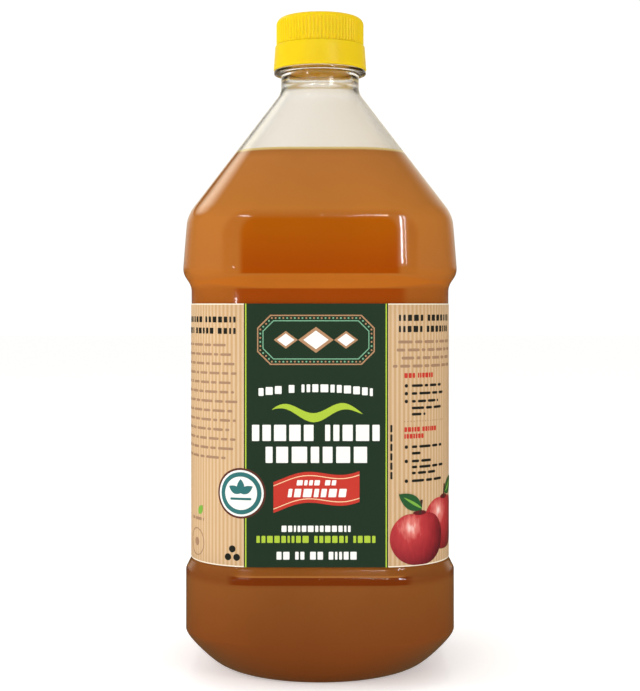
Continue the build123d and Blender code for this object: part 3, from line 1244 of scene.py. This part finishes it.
cap_rings = lathe_rings([(2.0, lip), (cap_bore - 0.4, lip), (cap_bore, lip - 0.4)], cap_shares)
cap_rings += lathe_rings([(cap_bore, cap_bottom + 0.25), (cap_bore + 0.25, cap_bottom)], cap_shares)
cap_rings += lathe_rings([(rib_root - 0.05, cap_bottom), (rib_root, cap_bottom + 0.05)], cap_shares)
for rise, fade in ((0.15, 0.0), (0.4, 0.35), (0.7, 0.7), (1.05, 0.9), (1.4, 1.0)):
    cap_rings.append(ribbed_ring(cap_radius, cap_bottom + rise, fade))
edge_height = cap_crown - cap_edge
for i in range(1, 4):
    cap_rings.append(ribbed_ring(cap_radius, cap_bottom + 1.4 + (edge_height - cap_bottom - 1.4) * i / 4, 1.0))
for step in range(13):
    angle = radians(90 * step / 12)
    blank = cap_radius - cap_edge + cap_edge * cos(angle)
    cap_rings.append(ribbed_ring(blank, edge_height + cap_edge * sin(angle), 1.0))
dish = ((14.0, 0.0), (9.0, 0.04), (4.0, 0.06), (1.2, 0.12))
cap_rings += lathe_rings([(radius, cap_crown - sink) for radius, sink in dish], cap_shares)
cap_thread = thread_ridge(cap_bore, -1, thread_start - thread_pitch / 2)
cap = new_object("ribbed_cap", *joined([bridge_rings(cap_rings), cap_thread]), yellow_plastic)
face_outward(cap)
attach(cap, "root")
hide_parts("cap")

# ---------------------------------------------------------------- tamper band and its bridges

band_bottom, band_top = band_low[2], cap_bottom
band_foot = 19.45
band_flare = 0.65
band_lip_bore = 16.1
band_around = 160
bridge_count = 12
bridge_half = 0.45
slope_foot = band_bottom + 0.3
slope_rise = band_top - 0.4 - slope_foot
band_profile = [(band_lip_bore, band_bottom + 0.2), (band_lip_bore + 0.2, band_bottom)]
band_profile += [(band_foot - 0.3, band_bottom), (band_foot - 0.07, band_bottom + 0.08), (band_foot, slope_foot)]
band_profile += [(band_foot - band_flare * i / 6, slope_foot + slope_rise * i / 6) for i in range(1, 7)]
band_profile += [(18.72, band_top - 0.14), (18.62, band_top - 0.04), (18.5, band_top)]
band_profile += [(17.6, band_top), (17.5, band_top - 0.1), (18.15, band_bottom + 1.0)]
band_profile += [(band_lip_bore + 0.2, band_bottom + 1.0), (band_lip_bore, band_bottom + 0.8)]
band_rings = lathe_rings(band_profile, even_shares(band_around))
band_verts, band_faces = bridge_rings(band_rings, cap_ends=False)
last_row = (len(band_rings) - 1) * band_around
for i in range(band_around):
    j = (i + 1) % band_around
    band_faces.append((last_row + i, last_row + j, j, i))
parts = [(band_verts, band_faces)]
for i in range(bridge_count):
    angle = tau * (i + 0.5) / bridge_count
    rings = []
    for height in (band_top - 0.05, cap_bottom + 0.05):
        ring = []
        for out, side in ((17.62, -1), (17.93, -1), (17.93, 1), (17.62, 1)):
            side *= bridge_half
            ring.append((out * cos(angle) - side * sin(angle), out * sin(angle) + side * cos(angle), height))
        rings.append(ring)
    parts.append(bridge_rings(rings))
tamper_band = new_object("tamper_band_ring", *joined(parts), yellow_plastic)
face_outward(tamper_band)
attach(tamper_band, "root")
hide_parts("tamper_band")

# ---------------------------------------------------------------- stage, lamps and camera

floor_mesh = bpy.data.meshes.new("pale_floor")
floor_mesh.from_pydata([(-6, -6, 0), (6, -6, 0), (6, 6, 0), (-6, 6, 0)], [], [(0, 1, 2, 3)])
floor_mesh.materials.append(
    finish(
        "pale_floor", tone(252, 252, 251), 0.6, variation=0.01, scale=60.0, spread=0.03, bump=0.02,
        Specular_IOR_Level=0.0, Emission_Color=(1.0, 1.0, 0.995, 1.0), Emission_Strength=0.33,
    )
)
floor = bpy.data.objects.new("pale_floor", floor_mesh)
bpy.context.scene.collection.objects.link(floor)
floor.location.z = -0.0002


def lamp(name, place, target, width, height, watts, colour=(1, 1, 1)):
    """A soft box that faces a target."""
    light = bpy.data.lights.new(name, "AREA")
    light.shape = "RECTANGLE"
    light.size = width
    light.size_y = height
    light.energy = watts
    light.color = colour
    box = bpy.data.objects.new(name, light)
    box.location = place
    box.rotation_euler = (Vector(target) - Vector(place)).to_track_quat("-Z", "Y").to_euler()
    box.visible_camera = False
    box.visible_transmission = False
    bpy.context.scene.collection.objects.link(box)
    return box


middle = (0, 0, 0.15)
lamp("strip_right", (0.52, -0.86, 0.50), middle, 0.05, 0.40, 1.3)
lamp("strip_right_thin", (0.60, -0.80, 0.50), middle, 0.018, 0.40, 0.4)
lamp("strip_left", (-0.62, -0.82, 0.15), middle, 0.05, 0.09, 0.2)
lamp("glint_left", (-0.34, -0.75, 0.63), middle, 0.26, 0.03, 0.4)
lamp("glint_middle", (0.05, -0.75, 0.63), middle, 0.03, 0.03, 0.03)
lamp("glint_right", (0.12, -0.75, 0.63), middle, 0.10, 0.06, 0.28, (1.0, 0.86, 0.6))
overhead = lamp("overhead", (0.0, 0.1, 1.3), middle, 0.5, 0.5, 2.0)
overhead.visible_glossy = False
side = lamp("side_left", (-1.3, -0.2, 0.5), middle, 0.9, 1.1, 9.0)
side.visible_glossy = False


def sheen_card(name, place, target, width, height, strength, colour):
    """A glowing card, brightest at its middle, that only gloss picks up."""
    mesh = bpy.data.meshes.new(name)
    a, b = width / 2, height / 2
    mesh.from_pydata([(-a, -b, 0), (a, -b, 0), (a, b, 0), (-a, b, 0)], [], [(0, 1, 2, 3)])
    material, tree, shader = new_material(name)
    shader.inputs["Base Color"].default_value = (0.0, 0.0, 0.0, 1.0)
    shader.inputs["Specular IOR Level"].default_value = 0.0
    shader.inputs["Emission Strength"].default_value = strength
    corner = tree.nodes.new("ShaderNodeTexCoord")
    from_middle = tree.nodes.new("ShaderNodeMapping")
    from_middle.inputs["Scale"].default_value = (1 / a, 1 / b, 1.0)
    link(tree, corner.outputs["Object"], from_middle.inputs["Vector"])
    reach = tree.nodes.new("ShaderNodeVectorMath")
    reach.operation = "LENGTH"
    link(tree, from_middle.outputs["Vector"], reach.inputs[0])
    fade = soft_step(tree, reach.outputs["Value"], 1.0, 0.1)
    link(tree, mix_colour(tree, fade, (0.0, 0.0, 0.0, 1.0), colour), shader.inputs["Emission Color"])
    mesh.materials.append(material)
    card = bpy.data.objects.new(name, mesh)
    card.location = place
    card.rotation_euler = (Vector(target) - Vector(place)).to_track_quat("-Z", "Y").to_euler()
    card.visible_camera = False
    card.visible_diffuse = False
    card.visible_transmission = False
    card.visible_shadow = False
    bpy.context.scene.collection.objects.link(card)


sheen_card("sheen_left", (-0.92, 0.88, 1.05), (0, 0, 0.2), 1.5, 0.9, 2.0, (1.0, 0.94, 0.76, 1.0))

# The room is white behind the bottle. Seen through the clear plastic it is a little darker and
# warmer, more so on the right, and gloss picks up only a dim warm part of it above the floor.
ROOM = 1.06
SHADE_LIGHT = (0.6, 0.605, 0.6, 1.0)
THROUGH_LEFT = (1.0, 0.985, 0.95, 1.0)
THROUGH_RIGHT = (0.83, 0.775, 0.69, 1.0)
GLOSS_NEAR = (0.07, 0.055, 0.02, 1.0)
GLOSS_FAR = (0.80, 0.72, 0.58, 1.0)
GLOSS_LOW = (0.10, 0.07, 0.035, 1.0)
world = bpy.data.worlds.new("studio")
world.use_nodes = True
room = world.node_tree
backdrop = room.nodes["Background"]
backdrop.inputs["Strength"].default_value = ROOM
rays = room.nodes.new("ShaderNodeLightPath")
toward = room.nodes.new("ShaderNodeTexCoord")
direction = room.nodes.new("ShaderNodeSeparateXYZ")
link(room, toward.outputs["Generated"], direction.inputs[0])
far_side = soft_step(room, direction.outputs["Y"], 0.5, 1.0)
above_floor = soft_step(room, direction.outputs["Z"], -0.05, 0.15)
to_right = soft_step(room, direction.outputs["X"], -0.12, 0.06)
in_gloss = mix_colour(room, above_floor, GLOSS_LOW, mix_colour(room, far_side, GLOSS_NEAR, GLOSS_FAR))
through = mix_colour(room, to_right, THROUGH_LEFT, THROUGH_RIGHT)
seen = mix_colour(room, rays.outputs["Is Diffuse Ray"], (1.0, 0.998, 0.99, 1.0), SHADE_LIGHT)
seen = mix_colour(room, rays.outputs["Is Glossy Ray"], seen, in_gloss)
seen = mix_colour(room, rays.outputs["Is Transmission Ray"], seen, through)
link(room, seen, backdrop.inputs["Color"])
bpy.context.scene.world = world
floor.visible_glossy = False

camera_data = bpy.data.cameras.new("camera")
camera_data.lens = 71.63
camera_data.shift_y = -0.06
camera = bpy.data.objects.new("camera", camera_data)
camera.location = (0.0, -0.5779, 0.1477)
camera.rotation_euler = (pi / 2, 0, 0)
bpy.context.scene.collection.objects.link(camera)
bpy.context.scene.camera = camera
bpy.context.scene.view_settings.view_transform = "Standard"
